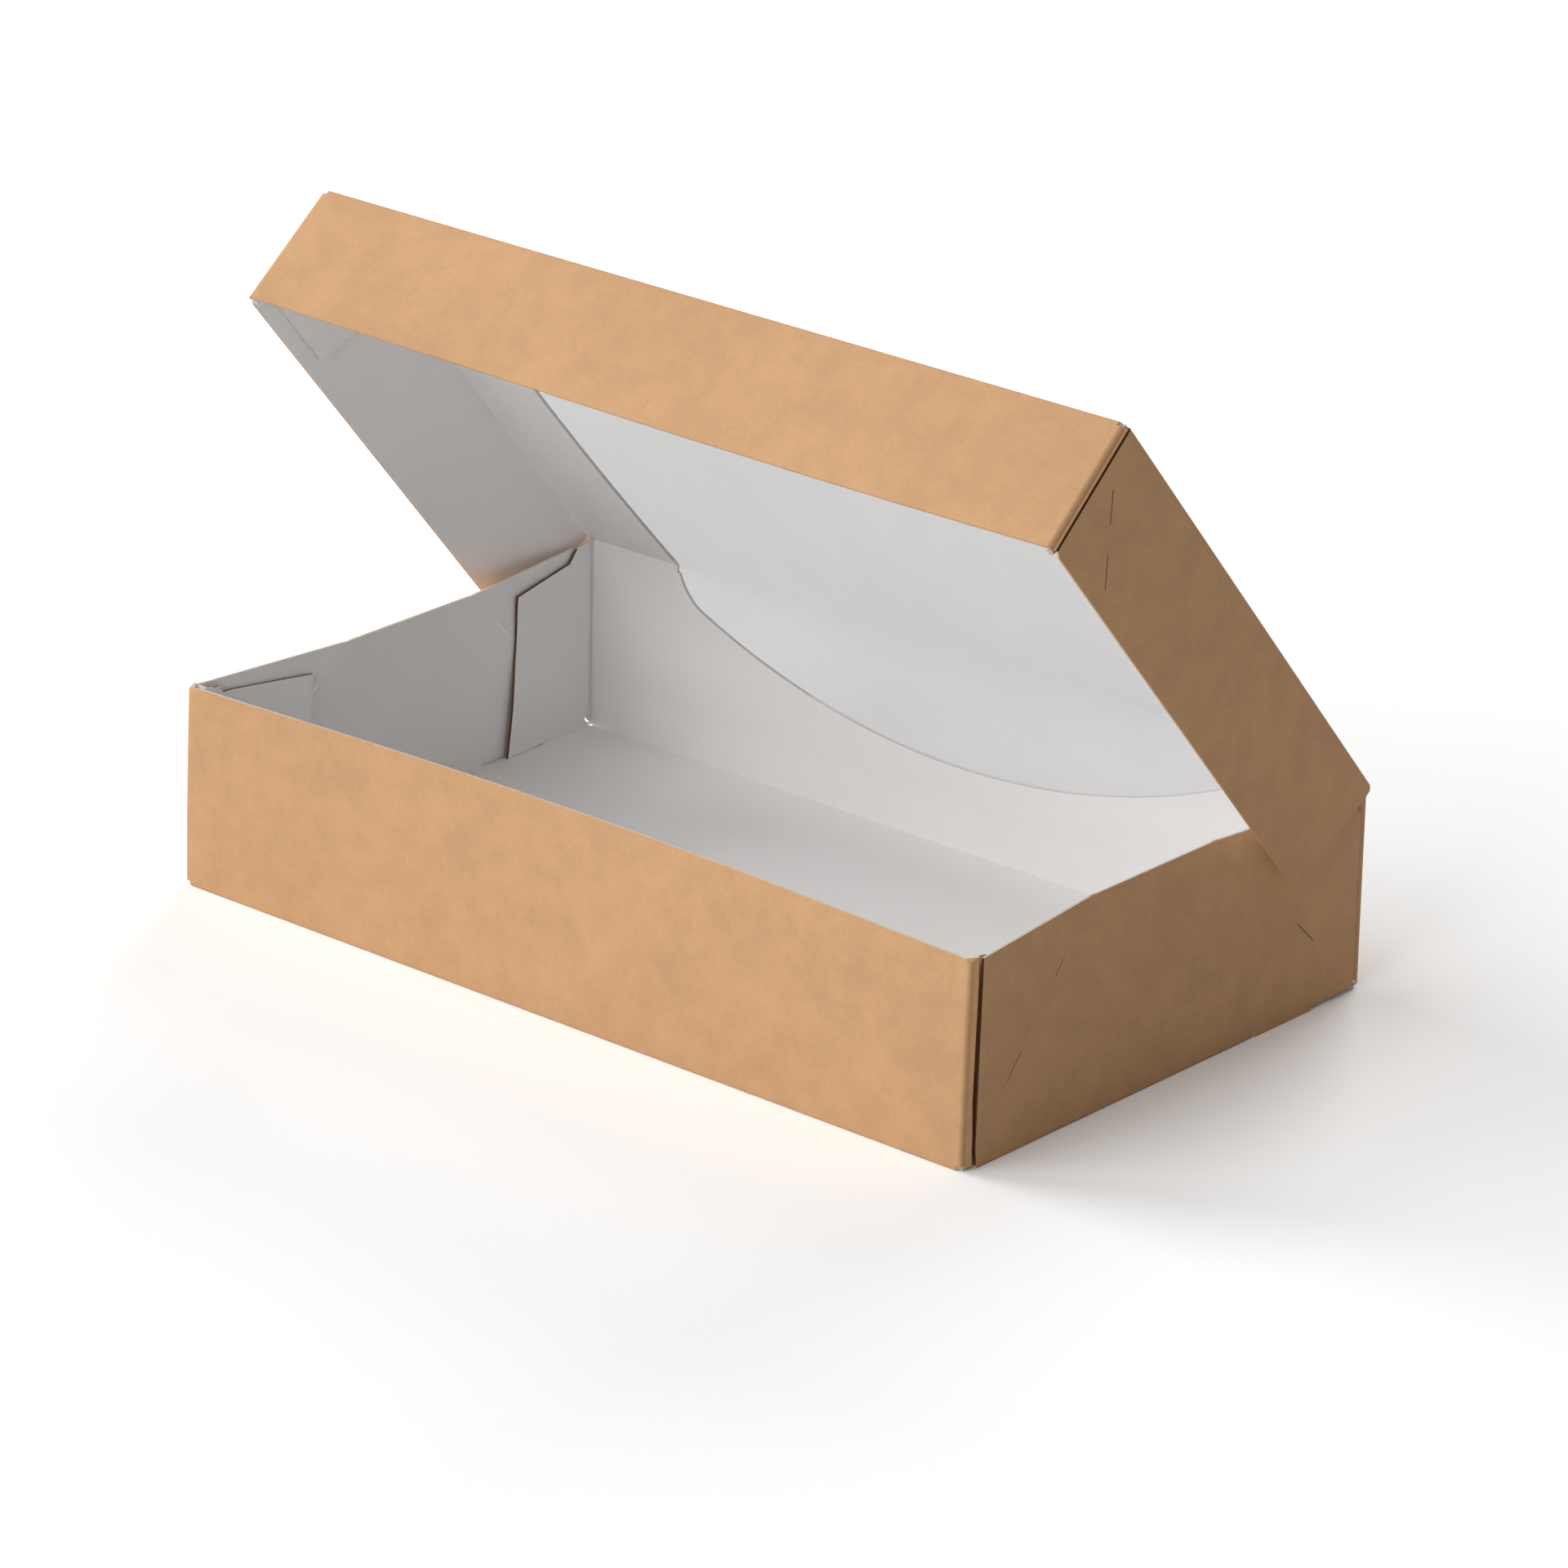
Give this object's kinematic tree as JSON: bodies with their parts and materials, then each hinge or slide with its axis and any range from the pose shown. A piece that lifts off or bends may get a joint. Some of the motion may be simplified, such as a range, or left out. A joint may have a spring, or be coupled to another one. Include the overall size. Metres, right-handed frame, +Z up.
{
  "type": "takeaway box",
  "caption": "Folded kraft board takeaway box with a hinged lid standing open and a clear film window that wraps over the hinge.",
  "frame": {"origin": "centre of the underside, on the surface that the box stands on", "axes": "+X to the right along the hinge, +Y to the back wall, +Z up"},
  "size_m": [0.2018, 0.118, 0.1331],
  "materials": {
    "kraft_board": "uncoated brown kraft outside, pale grey inside",
    "window_film": "thin clear film with a slight haze and soft wrinkles"
  },
  "bodies": {
    "tray": {"tray": "kraft_board", "back_window_film": "window_film"},
    "lid": {"lid": "kraft_board", "lid_window_film": "window_film"}
  },
  "joints": [
    {"name": "lid_hinge", "type": "hinge", "parent": "tray", "child": "lid", "pos_m": [0, 0.05875, 0.0415], "axis": [-1, 0, 0], "range_deg": [-49.3, 130.3]}
  ]
}
